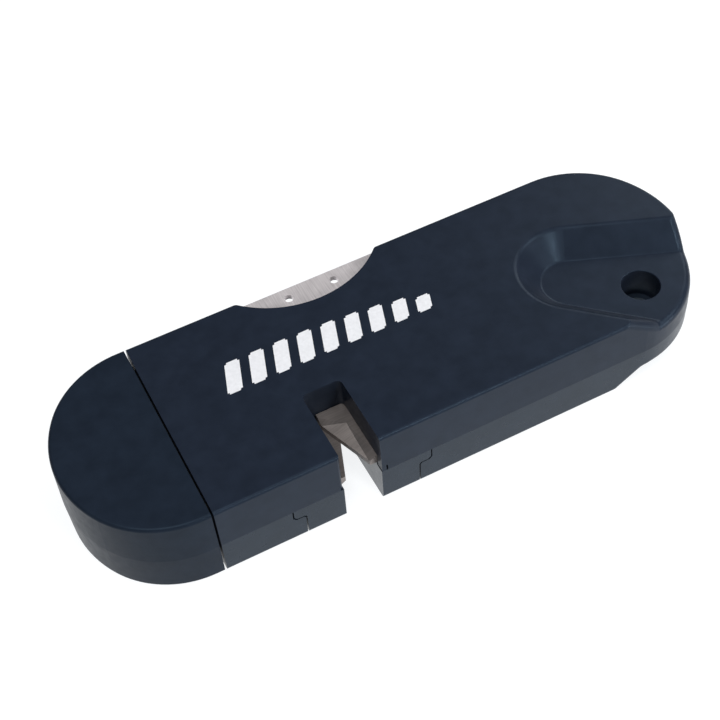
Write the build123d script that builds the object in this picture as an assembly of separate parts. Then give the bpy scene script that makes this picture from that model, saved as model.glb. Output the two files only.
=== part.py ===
from build123d import *
from math import atan2, degrees, radians, sqrt, cos, sin, hypot
import os

# Pocket edge tuning tool. Millimetres, +Z up. The origin is on the resting face, at the middle of
# the length and width. +X runs to the lanyard end, +Y to the side with the finger scallop.

# ---- whole body
LENGTH = 95.0
WIDTH = 31.14                 # at the parting plane, where the body is widest
HEIGHT = 13.4
PARTING_Z = 6.3               # top shell above, bottom shell below
DRAFT = 1.4                   # degrees, on both shells
EDGE_R = 0.5                  # rounding of the top and bottom rims
NOSE_R = 17.0                 # middle arc of each rounded end
CORNER_R = 14.0               # arcs that join the end to the sides
WALL = 1.7
FIT = 0.1                     # gap between parts that are assembled together
SEAM_X = -31.8                # where the end cap meets the housing
SEAM_GAP = 0.3
CEILING_Z = 11.6              # underside of the top shell's skin
FLOOR_Z = WALL                # top of the bottom shell's floor

# ---- edge slot and its carbides
SLOT_X = -11.2
SLOT_W = 5.74                 # in the top shell
SLOT_BACK_Y = -4.05
SLOT_WALL = 1.2
INSERT_SLOT_W = 5.6           # in the insert below, a little narrower
INSERT_FLANGE_W = 20.4
INSERT_STEM_W = 16.8
INSERT_STEP_Z = 4.4
INSERT_BACK_Y = -2.95
INSERT_GAP = 0.18
INSERT_CHAMFER = 0.45         # on the flange's lower corners
INSERT_ROOT = 0.3             # fills the corner between stem and flange
SLOT_LEAD_R = 0.4             # softens the left-hand corner of the slot's mouth
CARBIDE_T = 1.65
CARBIDE_Z = 6.75              # plane where the two carbides cross
CARBIDE_LAND = 0.87           # thickness left at the cutting edge
CARBIDE_ANGLE = 20.0          # each cutting edge, from the slot's centre plane
CARBIDE_APEX_Y = -9.0         # where the two edges cross
CARBIDE_BACK_Y = -4.15
CARBIDE_FRONT_Y = -14.1
CARBIDE_TAIL = 7.9            # from the centre plane to the far end of the clamped tail
CARBIDE_SCREW = (5.9, -9.3)   # from the centre plane, and y

# ---- finger scallop
SCALLOP_C = (-4.2, 25.4)
SCALLOP_R = 15.0
SCALLOP_LIP_R = 1.5

# ---- thumb recess and lanyard hole
RECESS_C = (29.0, -2.2)
RECESS_R = 7.7                # at the face; each wall slopes in at 45 degrees
RECESS_FAR_ANGLE = -23.2
RECESS_NEAR_ANGLE = -43.0
RECESS_TOP_DEPTH = 3.5
RECESS_BOTTOM_DEPTH = 2.5
RECESS_BOTTOM_GROW = 0.7      # the underside recess is this much larger in plan
RECESS_EDGE_R = 1.0           # rounding of each recess's upper edge and of its run-outs
RECESS_FOOT_R = 0.6           # rounding at the foot of each recess wall
LANYARD_C = (37.4, -7.45)
LANYARD_R = 2.75              # in the top shell
LANYARD_EXIT_R = 1.9          # in the bottom shell, below the ledge
LANYARD_LEDGE_Z = 5.0
LANYARD_RIM_R = 0.15

# ---- pull-out rod in the cap
ROD_Y = 2.2
ROD_BASE_R = 2.5
ROD_TIP_R = 1.3
ROD_BORE_R = 2.85
ROD_BASE_X = -43.5
ROD_TAPER_X = -37.0
ROD_TIP_X = 14.0
SPIGOT_X = -36.0              # free end of the frame's spigot
SPIGOT_HALF_W = 13.4
SPIGOT_Z = (1.9, 11.45)
COLLAR_HALF_W = 13.65         # root of the spigot, seen through the seam
COLLAR_Z = (1.75, 11.55)
RING_X = -34.2
RING_R = 0.55
RING_STAND = 0.26             # how far the ring stands out of its groove

# ---- fold-out file
PIVOT = (38.0, 7.5)
DECK_Z = 10.4                 # the frame's deck, under the file
DECK_T = 1.2
PLATE_Z = 10.6
PLATE_T = 0.8
PLATE_EDGE_Y = 16.0           # the spine stands a little proud of the housing
PLATE_INNER_Y = 5.0
PLATE_TIP_X = -26.5
POCKET_X = -28.3              # blind end of the file's pocket
POCKET_Y = 4.75
GRIP_HOLES = [(-7.55, 14.1), (-0.4, 14.1)]
GRIP_HOLE_R = 0.66
ABRASIVE_T = 0.08
POST_R = 2.5

# ---- screws
SHELL_SCREWS = [(-26.0, -9.0), (14.0, -9.5)]
FRAME_SCREWS = [(-24.0, 10.4), (20.0, 10.4)]
SCREW_R = 1.0
HEAD_R = 1.8
HEAD_H = 1.2
SINK_R = 2.1
SINK_Z = 1.6                  # depth of the sinks in the resting face
BOSS_R = 2.6

HALF_W = WIDTH / 2
SIDE_Y = 0.17                 # how far the draft brings each side in at the top face
CORNER_Y = HALF_W - CORNER_R
NOSE_X = LENGTH / 2 - NOSE_R
CORNER_X = NOSE_X + sqrt((NOSE_R - CORNER_R) ** 2 - CORNER_Y ** 2)
NOSE_ANGLE = degrees(atan2(CORNER_Y, CORNER_X - NOSE_X))
BIG = 60.0


def outline(grow=0.0):
    """Plan outline of the closed tool, moved outward by grow: two sides and two three-arc ends."""
    side = HALF_W + grow
    turn = 90 - NOSE_ANGLE
    edges = [Line((CORNER_X, side), (-CORNER_X, side)), Line((-CORNER_X, -side), (CORNER_X, -side))]
    for s, facing in ((1, 0), (-1, 180)):
        edges.append(CenterArc((s * NOSE_X, 0), NOSE_R + grow, facing - NOSE_ANGLE, 2 * NOSE_ANGLE))
        edges.append(CenterArc((s * CORNER_X, s * CORNER_Y), CORNER_R + grow, facing + NOSE_ANGLE, turn))
        edges.append(CenterArc((s * CORNER_X, -s * CORNER_Y), CORNER_R + grow, facing - 90, turn))
    return make_face(edges)


def prism(face, low, high, taper=0.0):
    """A plan face carried from height low up to high."""
    return extrude(Pos(0, 0, low) * face, amount=high - low, taper=taper)


def block(x, y, z):
    """A box from its ranges along X, Y and Z."""
    size = [b - a for a, b in (x, y, z)]
    return Pos(*[(a + b) / 2 for a, b in (x, y, z)]) * Box(*size)


def column(place, radius, low, high):
    """An upright cylinder at a plan position."""
    return Pos(place[0], place[1], (low + high) / 2) * Cylinder(radius, high - low)


def along_x(radius, start, end, y=ROD_Y, z=PARTING_Z):
    """A cylinder lying along X."""
    return Pos((start + end) / 2, y, z) * Rot(0, 90, 0) * Cylinder(radius, end - start)


def top_form():
    """The outside of the upper half, drafted, with its thumb recess and rounded edges."""
    form = prism(outline(), PARTING_Z, HEIGHT, DRAFT)
    form -= recess(RECESS_TOP_DEPTH)
    return round_edges(form, HEIGHT, HEIGHT - RECESS_TOP_DEPTH)


def bottom_form():
    """The outside of the lower half, drafted the other way, with the recess underneath."""
    form = extrude(Pos(0, 0, PARTING_Z) * outline(), amount=PARTING_Z, dir=(0, 0, -1), taper=DRAFT)
    form -= under(recess(RECESS_BOTTOM_DEPTH, RECESS_BOTTOM_GROW))
    return round_edges(form, 0, RECESS_BOTTOM_DEPTH)


def round_edges(form, face_z, floor_z):
    """Rounds a recess's foot, then its upper edge and run-outs, then the rim of the body."""
    near = 0.02

    def on_side(edge):
        middle = edge.center()
        if abs(middle.X) < CORNER_X:
            return abs(middle.Y) > HALF_W - 0.8
        return hypot(abs(middle.X) - CORNER_X, abs(middle.Y) - CORNER_Y) > CORNER_R - 0.8

    def on_face(edge):
        return abs(edge.center().Z - face_z) < near

    def foot(edge):
        return abs(edge.center().Z - floor_z) < near and not on_side(edge)

    def brow(edge):
        return on_face(edge) and not on_side(edge)

    def run_out(edge):
        middle = edge.center()
        inside = min(face_z, floor_z) - near < middle.Z < max(face_z, floor_z) + near
        return inside and middle.X > RECESS_C[0] and on_side(edge) and not on_face(edge)

    def rim(edge):
        return on_face(edge) and on_side(edge)

    form = fillet(form.edges().filter_by(foot), RECESS_FOOT_R)
    form = fillet(form.edges().filter_by(lambda edge: brow(edge) or run_out(edge)), RECESS_EDGE_R)
    return fillet(form.edges().filter_by(rim), EDGE_R)


def right_of(x):
    return block((x, BIG), (-BIG, BIG), (-BIG, BIG))


def left_of(x):
    return block((-BIG * 2, x), (-BIG, BIG), (-BIG, BIG))


def scallop():
    """The plan area that the finger scallop takes away, with rounded lips."""
    rim_y = HALF_W - SIDE_Y
    strip = Pos(SCALLOP_C[0], rim_y - 10) * Rectangle(60, 20)
    strip -= Pos(*SCALLOP_C) * Circle(SCALLOP_R)
    lips = strip.vertices().filter_by(lambda v: abs(v.Y - rim_y) < 0.01 and abs(v.X - SCALLOP_C[0]) < 20)
    strip = fillet(lips, SCALLOP_LIP_R)
    return Pos(SCALLOP_C[0], rim_y) * Rectangle(50, 16) - strip


def recess_area(grow):
    """Plan area of the thumb recess: a round end whose two tangent sides run off the body."""
    cx, cy = RECESS_C
    r = RECESS_R + grow
    reach = 45.0
    far, near = radians(RECESS_FAR_ANGLE), radians(RECESS_NEAR_ANGLE)
    far_start = (cx - r * sin(far), cy + r * cos(far))
    near_start = (cx + r * sin(near), cy - r * cos(near))
    far_end = (far_start[0] + reach * cos(far), far_start[1] + reach * sin(far))
    near_end = (near_start[0] + reach * cos(near), near_start[1] + reach * sin(near))
    bow = (cx - r * cos((far + near) / 2), cy - r * sin((far + near) / 2))
    return make_face([ThreePointArc(near_start, bow, far_start), Line(far_start, far_end),
                      Line(far_end, near_end), Line(near_end, near_start)])


def recess(depth, grow=0.0, lid=0.0):
    """The recess in the top face, sloping at 45 degrees. lid thickens it by a wall's normal thickness."""
    floor_grow = grow - depth + lid * (sqrt(2) - 1)
    over = 1.0
    low = Pos(0, 0, HEIGHT - depth - lid) * recess_area(floor_grow)
    high = Pos(0, 0, HEIGHT + over) * recess_area(grow + over + lid * sqrt(2))
    return loft([low, high], ruled=True)


def under(solid):
    """The same shape cut into the resting face instead of the top face."""
    return mirror(solid, about=Plane.XY.offset(HEIGHT / 2))


def pocket_area():
    """Plan area of the file's pocket, open to the scallop side and to the lanyard end."""
    far = radians(RECESS_FAR_ANGLE)
    start_x = RECESS_C[0] - 2.0
    end_x = LENGTH / 2 + 6
    lift = 0.65
    level = RECESS_C[1] + RECESS_R / cos(far) + lift

    def line_y(x):
        return level + (x - RECESS_C[0]) * sin(far) / cos(far)

    points = [(POCKET_X, POCKET_Y), (start_x, POCKET_Y), (start_x, line_y(start_x)),
              (end_x, line_y(end_x)), (end_x, BIG), (POCKET_X, BIG)]
    return make_face(Polyline(*points, close=True))


def slot_cut(width, low, high):
    """The upright slot, open to the near side, with rounded inner corners."""
    depth = SLOT_BACK_Y + 20
    area = Pos(SLOT_X, SLOT_BACK_Y - depth / 2) * Rectangle(width, depth)
    corners = area.vertices().group_by(Axis.Y)[-1]
    return prism(fillet(corners, 0.8), low, high)


def make_top_shell():
    shell = top_form() & right_of(SEAM_X + SEAM_GAP / 2)
    shell -= prism(scallop(), PARTING_Z - 1, HEIGHT + 1)
    inner = prism(outline(-WALL - 0.17), PARTING_Z - 1, CEILING_Z)
    inner -= column(SCALLOP_C, SCALLOP_R + WALL, PARTING_Z - 2, HEIGHT)
    inner -= recess(RECESS_TOP_DEPTH, lid=WALL)
    keep = column(LANYARD_C, LANYARD_R + WALL, PARTING_Z, CEILING_Z)
    slot_room = SLOT_W / 2 + SLOT_WALL
    keep += block((SLOT_X - slot_room, SLOT_X + slot_room), (-HALF_W, SLOT_BACK_Y + SLOT_WALL),
                  (PARTING_Z, CEILING_Z))
    for place in SHELL_SCREWS:
        keep += column(place, BOSS_R, PARTING_Z + 0.05, CEILING_Z)
    shell -= inner - keep
    shell -= prism(pocket_area(), PARTING_Z - 1, CEILING_Z)
    shell += column(LANYARD_C, LANYARD_R + WALL, LANYARD_LEDGE_Z + 0.05, PARTING_Z + 1)
    shell -= slot_cut(SLOT_W, PARTING_Z - 1, HEIGHT + 1)
    # lead-in at the left of the slot's mouth
    corner_x, corner_y = SLOT_X - SLOT_W / 2, SIDE_Y - HALF_W
    arc_at = (corner_x - SLOT_LEAD_R, corner_y + SLOT_LEAD_R)
    lead = block((arc_at[0], corner_x + 1), (-HALF_W - 1, arc_at[1]), (PARTING_Z - 1, HEIGHT + 1))
    shell -= lead - column(arc_at, SLOT_LEAD_R, 0, HEIGHT + 2)
    shell -= column(LANYARD_C, LANYARD_R, 0, HEIGHT)
    mouth = shell.edges().filter_by(GeomType.CIRCLE)
    mouth = mouth.filter_by(lambda e: abs(e.center().Z - HEIGHT + RECESS_TOP_DEPTH) < 0.01
                            and abs(e.radius - LANYARD_R) < 0.01)
    shell = fillet(mouth, LANYARD_RIM_R)
    for place in SHELL_SCREWS:
        shell -= column(place, SCREW_R + 0.02, PARTING_Z - 1, CEILING_Z - 0.6)
    # room for the upper carbide, which is clamped under the slot's wall
    bed_y = (CARBIDE_FRONT_Y - 0.2, SLOT_BACK_Y - 0.05)
    shell -= block((SLOT_X, SLOT_X + CARBIDE_TAIL + FIT), bed_y, (0, CARBIDE_Z + CARBIDE_T + FIT))
    shell -= block((SLOT_X - CARBIDE_TAIL - FIT, SLOT_X), bed_y, (0, CARBIDE_Z + FIT))
    for s, head_z in ((1, CARBIDE_Z + CARBIDE_T + 1.1), (-1, CARBIDE_Z + 1.1)):
        shell -= column((SLOT_X + s * CARBIDE_SCREW[0], CARBIDE_SCREW[1]), HEAD_R + FIT, 0, head_z)
    # the narrow relief beside the slot's mouth, just above the parting line
    relief_x = SLOT_X + SLOT_W / 2 + 0.65
    shell -= block((relief_x, relief_x + 0.22), (-HALF_W - 1, -HALF_W + 0.6), (PARTING_Z - 1, PARTING_Z + 1.05))
    # seat of the pivot post's flange
    shell -= column(PIVOT, POST_R + 0.8, CEILING_Z - 1, CEILING_Z + 1.0)
    return shell


def make_bottom_shell():
    shell = bottom_form() & right_of(SEAM_X + SEAM_GAP / 2)
    shell -= prism(scallop(), -1, PARTING_Z + 1)
    inner = prism(outline(-WALL - 0.17), FLOOR_Z, PARTING_Z + 1)
    inner -= column(SCALLOP_C, SCALLOP_R + WALL, -1, HEIGHT)
    inner -= under(recess(RECESS_BOTTOM_DEPTH, RECESS_BOTTOM_GROW, WALL))
    keep = column(LANYARD_C, LANYARD_R + WALL, 0, LANYARD_LEDGE_Z)
    rim = 1.5
    half = INSERT_FLANGE_W / 2 + rim
    keep += block((SLOT_X - half, SLOT_X + half), (-HALF_W, INSERT_BACK_Y + 1.05), (0, PARTING_Z))
    for place in SHELL_SCREWS:
        keep += column(place, BOSS_R, 0, PARTING_Z)
    for place in FRAME_SCREWS + [PIVOT]:
        keep += column(place, BOSS_R, 0, SINK_Z + 1.4)
    shell -= inner - keep
    shell -= insert_form(INSERT_GAP)
    shell -= column(LANYARD_C, LANYARD_EXIT_R, -1, PARTING_Z + 1)
    shell -= column(LANYARD_C, LANYARD_R + WALL + FIT / 2, LANYARD_LEDGE_Z, PARTING_Z + 1)
    for place in SHELL_SCREWS + FRAME_SCREWS + [PIVOT]:
        shell -= column(place, SCREW_R + 0.15, -1, PARTING_Z + 1)
        shell -= column(place, SINK_R, -1, SINK_Z)
    return shell


def insert_form(gap=0.0):
    """The T-shaped insert's envelope: a flange under the parting plane and a stem down to the base."""
    flange = INSERT_FLANGE_W / 2 + gap
    stem = INSERT_STEM_W / 2 + gap
    step = INSERT_STEP_Z - gap
    right = [(stem, -1), (stem, step - INSERT_ROOT), (stem + INSERT_ROOT, step),
             (flange - INSERT_CHAMFER, step), (flange, step + INSERT_CHAMFER), (flange, PARTING_Z + gap * 10)]
    left = [(-x, z) for x, z in reversed(right)]
    back = Plane(origin=(SLOT_X, INSERT_BACK_Y + gap, 0), x_dir=(1, 0, 0), z_dir=(0, -1, 0))
    return extrude(back * make_face(Polyline(*right, *left, close=True)), amount=BIG)


def carbide_plan():
    """One carbide seen from above, its cutting edge leaning from the slot's centre plane."""
    lean = sin(radians(CARBIDE_ANGLE)) / cos(radians(CARBIDE_ANGLE))
    shoulder_y = CARBIDE_BACK_Y - 1.35
    front_y = CARBIDE_FRONT_Y
    points = [(SLOT_X + (CARBIDE_APEX_Y - shoulder_y) * lean, CARBIDE_BACK_Y),
              (SLOT_X + (CARBIDE_APEX_Y - shoulder_y) * lean, shoulder_y),
              (SLOT_X + (CARBIDE_APEX_Y - front_y) * lean, front_y),
              (SLOT_X + CARBIDE_TAIL, front_y),
              (SLOT_X + CARBIDE_TAIL, CARBIDE_BACK_Y)]
    return make_face(Polyline(*points, close=True))


def above(p, q, r):
    """Everything over the plane through three points."""
    p, q, r = Vector(*p), Vector(*q), Vector(*r)
    normal = (q - p).cross(r - p)
    if normal.Z < 0:
        normal = normal * -1
    return Plane(origin=p, x_dir=q - p, z_dir=normal) * Pos(0, 0, BIG) * Box(4 * BIG, 4 * BIG, 2 * BIG)


def edge_point(y, z):
    """The point of the upper carbide's cutting edge at a given y."""
    return (SLOT_X + (CARBIDE_APEX_Y - y) * sin(radians(CARBIDE_ANGLE)) / cos(radians(CARBIDE_ANGLE)), y, z)


def make_carbide_upper():
    """The upper carbide, with a three-sided facet ground down to its cutting edge."""
    low, high = CARBIDE_Z, CARBIDE_Z + CARBIDE_T
    land_z = low + CARBIDE_LAND
    body = prism(carbide_plan(), low, high)
    back = edge_point(CARBIDE_BACK_Y - 1.6, land_z)
    front = edge_point(CARBIDE_FRONT_Y + 0.3, land_z)
    valley = (SLOT_X + 1.75, CARBIDE_BACK_Y - 3.25, high)
    wall_side = (SLOT_X + SLOT_W / 2, CARBIDE_FRONT_Y + 0.2, high)
    back_rim = (back[0], CARBIDE_BACK_Y - 0.7, high)
    body -= above(back, front, valley) & above(valley, front, wall_side) & above(back, valley, back_rim)
    return body - column((SLOT_X + CARBIDE_SCREW[0], CARBIDE_SCREW[1]), SCREW_R + 0.1, low - 1, high + 1)


def make_carbide_lower():
    """The same carbide turned over, crossing below the upper one."""
    turn = Pos(SLOT_X, 0, CARBIDE_Z - 0.02) * Rot(0, 180, 0) * Pos(-SLOT_X, 0, -CARBIDE_Z)
    return turn * make_carbide_upper()


def make_slot_insert():
    insert = insert_form() & bottom_form()
    insert -= slot_cut(INSERT_SLOT_W, -1, PARTING_Z + 1)
    # pocket that takes the lower carbide's tail
    insert -= block((SLOT_X - CARBIDE_TAIL - FIT, SLOT_X), (CARBIDE_FRONT_Y - FIT, CARBIDE_BACK_Y + FIT),
                    (CARBIDE_Z - CARBIDE_T - 0.05, PARTING_Z + 1))
    # raised bed under the upper carbide's tail
    insert += block((SLOT_X + INSERT_SLOT_W / 2, SLOT_X + CARBIDE_TAIL), (CARBIDE_FRONT_Y, CARBIDE_BACK_Y),
                    (PARTING_Z - 0.5, CARBIDE_Z - 0.02))
    for s in (-1, 1):
        insert -= column((SLOT_X + s * CARBIDE_SCREW[0], CARBIDE_SCREW[1]), SCREW_R + 0.02, 1.2, CARBIDE_Z + 1)
    return insert


def make_carbide_screws():
    screws = []
    for s, seat in ((1, CARBIDE_Z + CARBIDE_T), (-1, CARBIDE_Z)):
        place = (SLOT_X + s * CARBIDE_SCREW[0], CARBIDE_SCREW[1])
        screw = column(place, SCREW_R, 1.4, seat) + column(place, 1.7, seat, seat + 0.9)
        screw -= Pos(*place, seat + 0.65) * Box(3.6, 0.5, 0.6)
        screws.append(screw)
    return Compound(children=screws)


def make_frame():
    """The chassis inside: cap spigot, rod tube, the file's deck and the exposed far wall."""
    low, high = SPIGOT_Z
    mid_z = (low + high) / 2
    section = Pos(0, mid_z) * RectangleRounded(2 * SPIGOT_HALF_W, high - low, 1.5)
    spigot = extrude(Plane(origin=(SPIGOT_X, 0, 0), x_dir=(0, 1, 0), z_dir=(1, 0, 0)) * section, amount=7.0)
    reach = prism(outline(), PARTING_Z + 0.05, DECK_Z, DRAFT) & right_of(SPIGOT_X + 6.0)
    reach -= prism(scallop(), 0, HEIGHT)
    deck_room = prism(pocket_area(), PARTING_Z, DECK_Z)
    hollow = prism(outline(-WALL), PARTING_Z - 1, DECK_Z - DECK_T)
    hollow -= column(SCALLOP_C, SCALLOP_R + WALL, 0, HEIGHT)
    frame = (reach & deck_room) - hollow
    frame = frame - block((-BIG, POCKET_X + FIT), (-BIG, BIG), (0, HEIGHT))
    # inner side of the deck, with the lip that stops the folded file
    deck_back = -1.6
    frame += block((-30.0, RECESS_C[0] - 8.0), (deck_back, POCKET_Y + 0.5), (DECK_Z - DECK_T, DECK_Z))
    frame += block((-30.0, RECESS_C[0] - 8.0), (POCKET_Y - 1.2, POCKET_Y), (DECK_Z, CEILING_Z - FIT))
    frame += spigot
    collar_z = (COLLAR_Z[0] + COLLAR_Z[1]) / 2
    collar = Pos(0, collar_z) * RectangleRounded(2 * COLLAR_HALF_W, COLLAR_Z[1] - COLLAR_Z[0], 1.5)
    frame += extrude(Plane(origin=(SEAM_X - 1.2, 0, 0), x_dir=(0, 1, 0), z_dir=(1, 0, 0)) * collar, amount=3.0)
    frame += along_x(ROD_BORE_R + 1.1, SPIGOT_X + 5, ROD_TIP_X + 3)
    for place in FRAME_SCREWS:
        frame += column(place, BOSS_R, SINK_Z + 1.45, DECK_Z)
    frame += column(PIVOT, BOSS_R + 1.2, SINK_Z + 1.45, DECK_Z)
    frame -= along_x(ROD_BORE_R, SPIGOT_X - 1, ROD_TIP_X + 1.5)
    for place in FRAME_SCREWS:
        frame -= column(place, SCREW_R + 0.02, 0, DECK_Z - 1.2)
    frame -= column(PIVOT, SCREW_R + 0.15, 0, HEIGHT)
    frame -= ring_path(RING_R + 0.05)
    return frame


def ring_path(radius):
    """The seal ring around the spigot, as a swept loop of round section."""
    drop = RING_R - RING_STAND
    half_w = SPIGOT_HALF_W - drop
    plane = Plane(origin=(RING_X, 0, (SPIGOT_Z[0] + SPIGOT_Z[1]) / 2), x_dir=(0, 1, 0), z_dir=(1, 0, 0))
    loop = plane * RectangleRounded(2 * half_w, SPIGOT_Z[1] - SPIGOT_Z[0] - 2 * drop, 1.5 - drop + 0.3)
    path = loop.face().outer_wire()
    start = path.position_at(0)
    section = Plane(origin=start, z_dir=path.tangent_at(0)) * Circle(radius)
    return sweep(section, path=path, transition=Transition.ROUND)


def make_end_cap():
    cap = (top_form() + bottom_form()) & left_of(SEAM_X - SEAM_GAP / 2)
    return cap - prism(outline(-WALL - 0.05), WALL - 0.1, HEIGHT - WALL + 0.05)


def make_rod_holder():
    half = 4.2
    holder = block((-44.0, ROD_TAPER_X - 0.5), (ROD_Y - half, ROD_Y + half), (WALL - 0.1, HEIGHT - WALL + 0.05))
    holder = fillet(holder.edges().filter_by(Axis.Z), 1.0)
    holder -= along_x(ROD_BASE_R + 0.02, ROD_BASE_X - 0.1, SPIGOT_X)
    return holder - rod_pin(SCREW_R * 0.75 + 0.02, half + 1)


def rod_pin(radius, half):
    """The pin across the holder that keeps the rod in."""
    return Pos((ROD_BASE_X + ROD_TAPER_X) / 2, ROD_Y, PARTING_Z) * Rot(90, 0, 0) * Cylinder(radius, 2 * half)


def make_diamond_rod():
    base = along_x(ROD_BASE_R, ROD_BASE_X, ROD_TAPER_X)
    length = ROD_TIP_X - ROD_TIP_R - ROD_TAPER_X
    taper = Pos(ROD_TAPER_X + length / 2, ROD_Y, PARTING_Z) * Rot(0, 90, 0) * Cone(ROD_BASE_R, ROD_TIP_R, length)
    tip = Pos(ROD_TIP_X - ROD_TIP_R, ROD_Y, PARTING_Z) * Sphere(ROD_TIP_R)
    return base + taper + tip - rod_pin(SCREW_R * 0.75 + 0.02, 6)


def plate_area():
    """The folded file seen from above: a straight proud spine and a narrow tang round the pivot."""
    px, py = PIVOT
    tang = 4.0
    blade = Polyline((PLATE_TIP_X, PLATE_INNER_Y), (20.0, PLATE_INNER_Y), (26.4, 8.1), (px, py - tang),
                     (px + 2.5, py), (px, py + tang), (px - 9.8, PLATE_EDGE_Y), (PLATE_TIP_X, PLATE_EDGE_Y),
                     close=True)
    area = make_face(blade)
    tip = area.vertices().group_by(Axis.X)[0].sort_by(Axis.Y)
    area = fillet(tip[-1], 4.0)
    area = fillet(area.vertices().group_by(Axis.X)[0].sort_by(Axis.Y)[0], 1.5)
    spine_corner = area.vertices().sort_by_distance((px - 9.8, PLATE_EDGE_Y, 0))[0]
    area = fillet(spine_corner, 6.0)
    return area + Pos(px, py) * Circle(tang)


def make_file_plate():
    plate = prism(plate_area(), PLATE_Z, PLATE_Z + PLATE_T)
    plate -= column(PIVOT, POST_R + 0.05, PLATE_Z - 1, PLATE_Z + 2)
    for place in GRIP_HOLES:
        plate -= column(place, GRIP_HOLE_R, PLATE_Z - 1, PLATE_Z + 2)
    return plate


def make_abrasive(low):
    """One diamond-coated face of the file, kept inside the housing when it is folded."""
    x = (PLATE_TIP_X + 0.8, 19.5)
    y = (PLATE_INNER_Y + 0.3, 10.0)
    area = Pos((x[0] + x[1]) / 2, (y[0] + y[1]) / 2) * RectangleRounded(x[1] - x[0], y[1] - y[0], 1.2)
    return prism(area, low, low + ABRASIVE_T)


def make_pivot_post():
    """The journal that the file turns on, with a flange moulded into the top shell."""
    post = column(PIVOT, POST_R, DECK_Z, CEILING_Z) + column(PIVOT, POST_R + 0.8, CEILING_Z, CEILING_Z + 1.0)
    return post - column(PIVOT, SCREW_R + 0.02, DECK_Z - 1, CEILING_Z + 0.7)


def make_friction_washer():
    return column(PIVOT, 3.8, DECK_Z, PLATE_Z - 0.02) - column(PIVOT, POST_R + 0.05, 0, HEIGHT)


def base_screws(places, top_z):
    """Pan-head cross-recess screws, driven up from the resting face."""
    screws = []
    for place in places:
        screw = column(place, SCREW_R, SINK_Z, top_z) + column(place, HEAD_R, SINK_Z - HEAD_H, SINK_Z)
        for turn in (0, 90):
            screw -= Pos(*place, SINK_Z - HEAD_H) * Rot(0, 0, turn) * Box(2.2, 0.55, 1.2)
        screws.append(screw)
    return screws[0] if len(screws) == 1 else Compound(children=screws)


parts = {
    "top_shell": make_top_shell(),
    "bottom_shell": make_bottom_shell(),
    "slot_insert": make_slot_insert(),
    "inner_frame": make_frame(),
    "carbide_upper": make_carbide_upper(),
    "carbide_lower": make_carbide_lower(),
    "carbide_screws": make_carbide_screws(),
    "shell_screws": base_screws(SHELL_SCREWS, CEILING_Z - 1.2),
    "frame_screws": base_screws(FRAME_SCREWS, DECK_Z - 1.8),
    "pivot_screw": base_screws([PIVOT], CEILING_Z + 0.5),
    "pivot_post": make_pivot_post(),
    "friction_washer": make_friction_washer(),
    "spigot_seal_ring": ring_path(RING_R),
    "end_cap": make_end_cap(),
    "rod_holder": make_rod_holder(),
    "rod_cross_pin": rod_pin(SCREW_R * 0.75, 4.1),
    "diamond_rod": make_diamond_rod(),
    "file_plate": make_file_plate(),
    "file_abrasive_upper": make_abrasive(PLATE_Z + PLATE_T),
    "file_abrasive_lower": make_abrasive(PLATE_Z - ABRASIVE_T),
}

os.makedirs("parts", exist_ok=True)
for name, shape in parts.items():
    export_step(shape, f"parts/{name}.step")
    print(name, round(shape.volume, 1), len(shape.solids()))
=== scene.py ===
import math

import bmesh
import bpy
from mathutils import Matrix, Vector


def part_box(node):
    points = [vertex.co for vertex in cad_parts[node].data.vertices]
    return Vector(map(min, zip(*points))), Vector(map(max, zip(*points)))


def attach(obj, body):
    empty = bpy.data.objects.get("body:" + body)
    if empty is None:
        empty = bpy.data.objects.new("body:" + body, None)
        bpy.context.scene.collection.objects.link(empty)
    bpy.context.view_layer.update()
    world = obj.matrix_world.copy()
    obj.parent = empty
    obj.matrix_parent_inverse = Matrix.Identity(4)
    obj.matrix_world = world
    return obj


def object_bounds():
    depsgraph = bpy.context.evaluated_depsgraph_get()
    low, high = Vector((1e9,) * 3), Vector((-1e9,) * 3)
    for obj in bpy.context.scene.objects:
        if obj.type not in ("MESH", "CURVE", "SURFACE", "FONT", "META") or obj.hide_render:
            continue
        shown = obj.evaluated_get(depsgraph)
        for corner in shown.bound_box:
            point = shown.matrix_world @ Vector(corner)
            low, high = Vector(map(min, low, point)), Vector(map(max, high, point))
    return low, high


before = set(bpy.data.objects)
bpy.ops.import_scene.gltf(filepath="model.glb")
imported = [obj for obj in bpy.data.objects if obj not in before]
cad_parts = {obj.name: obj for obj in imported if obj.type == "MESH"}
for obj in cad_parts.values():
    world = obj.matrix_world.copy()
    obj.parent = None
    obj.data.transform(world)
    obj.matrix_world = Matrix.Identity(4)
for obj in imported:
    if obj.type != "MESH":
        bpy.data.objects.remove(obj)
cad_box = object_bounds()
MM = 0.001

# Viewpoint: degrees, and metres in the row frame.
AZIMUTH = -22.73
ELEVATION = 50.86
ROLL = -5.53
DISTANCE = 0.205
AIM = Vector((-0.00137, 0.00502, 0.00346))
FIELD_OF_VIEW = 28.29

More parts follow.
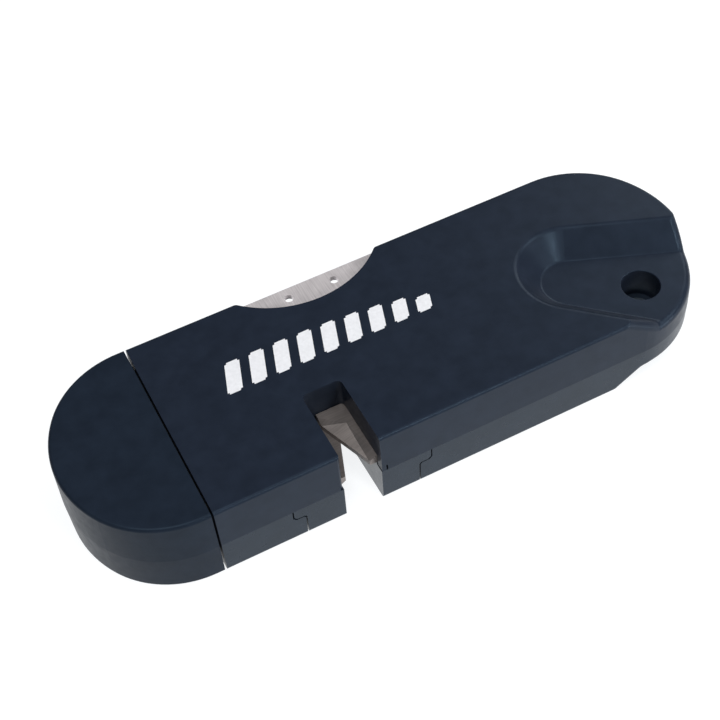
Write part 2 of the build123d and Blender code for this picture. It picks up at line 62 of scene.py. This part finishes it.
# Colours, as linear RGB.
NAVY = (0.0130, 0.0180, 0.0300)
NAVY_LOWER = (0.0125, 0.0180, 0.0280)
NAVY_CAP = (0.0115, 0.0170, 0.0280)
NAVY_SHEEN = (0.50, 0.76, 1.0)
NEUTRAL_SHEEN = (1, 1, 1)
FRAME_BLACK = (0.010, 0.011, 0.013)
CARBIDE = (0.25, 0.222, 0.21)
PLATE = (0.84, 0.79, 0.80)
ROD_GRIT = (0.40, 0.40, 0.41)
FILE_GRIT = (0.33, 0.34, 0.35)
ZINC = (0.36, 0.37, 0.39)
RUBBER = (0.016, 0.016, 0.018)
ACETAL = (0.70, 0.69, 0.65)
WHITE_INK = (0.78, 0.79, 0.82)
FLOOR_PAINT = (0.22, 0.222, 0.225)
FLOOR_GLOW = (0.97, 0.985, 1.0)
WORLD_TINT = (0.93, 0.96, 1.0)

# Noise frequencies of the ground metal, in cycles per metre: fine across the lines, long along them.
LINES_ALONG_X = (260, 5200, 260)
LINES_ALONG_Y = (5200, 260, 260)

# Studio: each softbox has a place and a size in metres, and a power in watts.
SOFTBOXES = [
    ("key", (-0.25, -0.15, 1.15), 0.6, 8.0),
    ("fill", (0.80, -0.35, 0.90), 0.6, 5.0),
    ("rear", (0.85, 0.60, 0.65), 0.6, 3.5),
    ("rim_strip", (0.25, -0.80, 0.60), 0.2, 3.0),
    ("low_right", (0.30, -0.27, 0.07), 0.12, 0.5),
]
WORLD_STRENGTH = 0.07
GLOW_STRENGTH = 0.88
FLOOR_HALF = 30.0
FLOOR_DROP = 0.02 * MM

# Printed mark on the top face: a row of slanted strokes.
STROKES = 9
STROKE_PITCH = 3.6 * MM
STROKE_WIDTH = 2.2 * MM
STROKE_HEIGHT = 5.2 * MM
STROKE_SLANT = 18             # degrees
STROKE_ROUNDING = 0.3 * MM
MARK_LEFT = -22.5 * MM
MARK_BASE = 0.9 * MM
MARK_FALL = 2.6               # power of the curve that shortens the strokes to the right
INK_THICKNESS = 0.015 * MM


# ---------------------------------------------------------------- node helpers

class Shader:
    """A material under construction: one Principled shader and the nodes that feed it."""

    NOISE_LOW = 0.3           # range that noise values mostly fall in
    NOISE_HIGH = 0.7

    def __init__(self, name, color, roughness, **sockets):
        self.material = bpy.data.materials.new(name)
        self.material.use_nodes = True
        self.tree = self.material.node_tree
        self.principled = self.tree.nodes["Principled BSDF"]
        self.principled.inputs["Base Color"].default_value = (*color, 1)
        self.principled.inputs["Roughness"].default_value = roughness
        for label, value in sockets.items():
            self.principled.inputs[label.replace("_", " ")].default_value = value
        self.color = color
        self.roughness = roughness
        self.last_bump = None
        self.coordinates = self.node("ShaderNodeTexCoord").outputs["Object"]

    def node(self, kind, **settings):
        made = self.tree.nodes.new(kind)
        for key, value in settings.items():
            setattr(made, key, value)
        return made

    def link(self, source, target):
        self.tree.links.new(source, target)

    def stretched(self, scale):
        """Object coordinates multiplied by a vector, for grain that runs one way."""
        mapping = self.node("ShaderNodeMapping")
        mapping.inputs["Scale"].default_value = scale
        self.link(self.coordinates, mapping.inputs["Vector"])
        return mapping.outputs["Vector"]

    def noise(self, scale, detail, vector=None):
        made = self.node("ShaderNodeTexNoise")
        made.inputs["Scale"].default_value = scale
        made.inputs["Detail"].default_value = detail
        self.link(vector or self.coordinates, made.inputs["Vector"])
        return made.outputs["Fac"]

    def cells(self, scale):
        made = self.node("ShaderNodeTexVoronoi")
        made.inputs["Scale"].default_value = scale
        self.link(self.coordinates, made.inputs["Vector"])
        return made

    def remap(self, value, low, high):
        """Carries the range that noise mostly falls in over to low and high."""
        made = self.node("ShaderNodeMapRange")
        made.inputs["From Min"].default_value = self.NOISE_LOW
        made.inputs["From Max"].default_value = self.NOISE_HIGH
        made.inputs["To Min"].default_value = low
        made.inputs["To Max"].default_value = high
        self.link(value, made.inputs["Value"])
        return made.outputs["Result"]

    def vary_color(self, value, darkest, lightest):
        """Base colour between two multiples of the plain one."""
        mix = self.node("ShaderNodeMix", data_type="RGBA")
        mix.inputs["A"].default_value = (*[c * darkest for c in self.color], 1)
        mix.inputs["B"].default_value = (*[c * lightest for c in self.color], 1)
        self.link(self.remap(value, 0.0, 1.0), mix.inputs["Factor"])
        self.link(mix.outputs["Result"], self.principled.inputs["Base Color"])

    def vary_roughness(self, value, spread):
        low, high = self.roughness - spread, self.roughness + spread
        self.link(self.remap(value, low, high), self.principled.inputs["Roughness"])

    def bump(self, height, depth, strength):
        """Adds a layer of relief, with its depth in metres."""
        made = self.node("ShaderNodeBump")
        made.inputs["Strength"].default_value = strength
        made.inputs["Distance"].default_value = depth
        self.link(height, made.inputs["Height"])
        if self.last_bump:
            self.link(self.last_bump, made.inputs["Normal"])
        self.last_bump = made.outputs["Normal"]
        self.link(self.last_bump, self.principled.inputs["Normal"])


# Noise is given as (cycles per metre, detail), and relief as (depth in metres, strength).

def moulded_plastic(name, color, roughness, level, tint=NAVY_SHEEN, grain=1.0):
    """Satin moulded plastic: cloudy tone, a slow ripple from the mould and fine spark-eroded grain."""
    shader = Shader(name, color, roughness, Specular_IOR_Level=level, Specular_Tint=(*tint, 1))
    shader.vary_color(shader.noise(420, 5), 0.88, 1.14)
    shader.vary_roughness(shader.noise(900, 4), 0.04)
    shader.bump(shader.noise(60, 2), 0.00004, 0.25)
    shader.bump(shader.noise(4200, 2), 0.000012, 0.35 * grain)
    return shader.material


def ground_metal(name, color, roughness, scratch, lines_scale):
    """Metal with fine grinding lines one way and slight mottling."""
    shader = Shader(name, color, roughness, Metallic=0.6, Specular_IOR_Level=0.5)
    lines = shader.noise(1.0, 4, shader.stretched(lines_scale))
    shader.vary_color(lines, 0.86, 1.12)
    shader.vary_roughness(shader.noise(500, 3), 0.06)
    shader.bump(lines, scratch, 0.4)
    shader.bump(shader.noise(1400, 3), 0.000006, 0.3)
    return shader.material


def bonded_grit(name, color):
    """Abrasive grit set in nickel: irregular grains of varied tone."""
    shader = Shader(name, color, 0.42, Metallic=0.75)
    grains = shader.cells(5200)
    shader.vary_color(grains.outputs["Color"], 0.6, 1.5)
    shader.vary_roughness(shader.noise(2600, 3), 0.12)
    shader.bump(grains.outputs["Distance"], 0.00006, 0.8)
    return shader.material


def plated_steel(name, color):
    """Zinc-plated screw steel with slight mottling."""
    shader = Shader(name, color, 0.32, Metallic=0.95)
    shader.vary_color(shader.noise(900, 4), 0.8, 1.15)
    shader.vary_roughness(shader.noise(700, 3), 0.08)
    shader.bump(shader.noise(3000, 3), 0.000006, 0.4)
    return shader.material


def seal_rubber(name, color):
    """Soft black rubber, paler in patches."""
    shader = Shader(name, color, 0.6, Specular_IOR_Level=0.35)
    shader.vary_color(shader.noise(800, 4), 0.8, 1.5)
    shader.bump(shader.noise(2500, 2), 0.00001, 0.3)
    return shader.material


def printed_ink(name, color):
    """Pad-printed ink: a little uneven in tone and surface."""
    shader = Shader(name, color, 0.5, Specular_IOR_Level=0.35)
    shader.vary_color(shader.noise(2200, 5), 0.93, 1.03)
    shader.bump(shader.noise(5200, 2), 0.000006, 0.4)
    return shader.material


# ---------------------------------------------------------------- materials on the CAD nodes

def dress(material, *nodes):
    """Puts one material on every slot of the named CAD nodes."""
    for node in nodes:
        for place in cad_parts[node].material_slots:
            place.material = material


dress(moulded_plastic("navy_top", NAVY, 0.34, 0.16), "top_shell")
dress(moulded_plastic("navy_lower", NAVY_LOWER, 0.30, 0.24), "bottom_shell")
dress(moulded_plastic("navy_insert", NAVY_LOWER, 0.2, 0.24, grain=1.3), "slot_insert")
dress(moulded_plastic("navy_cap", NAVY_CAP, 0.36, 0.10), "end_cap")
dress(moulded_plastic("black_frame", FRAME_BLACK, 0.5, 0.3, NEUTRAL_SHEEN), "inner_frame", "rod_holder")
dress(ground_metal("ground_carbide", CARBIDE, 0.36, 0.00001, LINES_ALONG_X), "carbide_upper", "carbide_lower")
dress(ground_metal("plate_steel", PLATE, 0.38, 0.000008, LINES_ALONG_Y), "file_plate")
dress(bonded_grit("rod_grit", ROD_GRIT), "diamond_rod")
dress(bonded_grit("file_grit", FILE_GRIT), "file_abrasive_upper", "file_abrasive_lower")
dress(plated_steel("screw_plating", ZINC), "carbide_screws", "shell_screws", "frame_screws",
      "pivot_screw", "pivot_post", "rod_cross_pin")
dress(seal_rubber("ring_rubber", RUBBER), "spigot_seal_ring")
dress(moulded_plastic("acetal_washer", ACETAL, 0.45, 0.4, NEUTRAL_SHEEN), "friction_washer")


# ---------------------------------------------------------------- printed mark on the top face

def printed_mark():
    """A generic print: slanted strokes whose lengths draw the outline of a blade."""
    top_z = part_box("top_shell")[1].z
    slant = math.tan(math.radians(STROKE_SLANT))
    mesh = bmesh.new()
    for i in range(STROKES):
        rise = STROKE_HEIGHT * math.sqrt(1 - (i / STROKES) ** MARK_FALL)
        left = MARK_LEFT + i * STROKE_PITCH
        right = left + STROKE_WIDTH
        corners = [(left, MARK_BASE), (right, MARK_BASE),
                   (right + rise * slant, MARK_BASE + rise), (left + rise * slant, MARK_BASE + rise)]
        foot = [mesh.verts.new((x, y, top_z - INK_THICKNESS)) for x, y in corners]
        face = mesh.faces.new(foot)
        raised = bmesh.ops.extrude_face_region(mesh, geom=[face])["geom"]
        lifted = [part for part in raised if isinstance(part, bmesh.types.BMVert)]
        bmesh.ops.translate(mesh, verts=lifted, vec=(0, 0, 2 * INK_THICKNESS))
    uprights = [e for e in mesh.edges if abs(e.verts[0].co.z - e.verts[1].co.z) > INK_THICKNESS]
    bmesh.ops.bevel(mesh, geom=uprights, offset=STROKE_ROUNDING, segments=5, affect="EDGES")
    bmesh.ops.recalc_face_normals(mesh, faces=mesh.faces)
    data = bpy.data.meshes.new("blade_mark")
    mesh.to_mesh(data)
    mesh.free()
    data.materials.append(printed_ink("white_ink", WHITE_INK))
    mark = bpy.data.objects.new("blade_mark", data)
    bpy.context.collection.objects.link(mark)
    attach(mark, "housing")


printed_mark()


# ---------------------------------------------------------------- floor, light and camera

def floor():
    """A wide pale floor just under the object, glowing so that shadows on it stay faint."""
    data = bpy.data.meshes.new("floor")
    near, far = -FLOOR_HALF, FLOOR_HALF
    data.from_pydata([(near, near, 0), (far, near, 0), (far, far, 0), (near, far, 0)], [], [(0, 1, 2, 3)])
    ground = bpy.data.objects.new("floor", data)
    ground.location.z = cad_box[0].z - FLOOR_DROP
    paint = Shader("pale_floor", FLOOR_PAINT, 0.75, Specular_IOR_Level=0.1)
    paint.principled.inputs["Emission Color"].default_value = (*FLOOR_GLOW, 1)
    paint.principled.inputs["Emission Strength"].default_value = GLOW_STRENGTH
    data.materials.append(paint.material)
    bpy.context.collection.objects.link(ground)


def softbox(name, place, size, power):
    """A square area light aimed at the object."""
    data = bpy.data.lights.new(name, "AREA")
    data.size = size
    data.energy = power
    light = bpy.data.objects.new(name, data)
    light.location = place
    light.rotation_euler = (-Vector(place)).to_track_quat("-Z", "Y").to_euler()
    bpy.context.collection.objects.link(light)


def world_light():
    """A dim even surround."""
    world = bpy.data.worlds.new("studio")
    world.use_nodes = True
    background = world.node_tree.nodes["Background"]
    background.inputs["Color"].default_value = (*WORLD_TINT, 1)
    background.inputs["Strength"].default_value = WORLD_STRENGTH
    bpy.context.scene.world = world


def camera():
    """The viewpoint, from its azimuth, elevation and roll."""
    azimuth, elevation = math.radians(AZIMUTH), math.radians(ELEVATION)
    flat = Vector((-math.sin(azimuth), math.cos(azimuth), 0))
    forward = flat * math.cos(elevation) - Vector((0, 0, math.sin(elevation)))
    right = forward.cross(Vector((0, 0, 1))).normalized()
    turn = Matrix.Rotation(-math.radians(ROLL), 3, forward)
    right = turn @ right
    up = right.cross(forward)
    data = bpy.data.cameras.new("camera")
    data.angle = math.radians(FIELD_OF_VIEW)
    data.clip_start = 0.01
    eye = bpy.data.objects.new("camera", data)
    pose = Matrix((right, up, -forward)).transposed().to_4x4()
    pose.translation = AIM - forward * DISTANCE
    eye.matrix_world = pose
    bpy.context.collection.objects.link(eye)
    bpy.context.scene.camera = eye


floor()
world_light()
for box in SOFTBOXES:
    softbox(*box)
camera()
bpy.context.scene.view_settings.view_transform = "Standard"
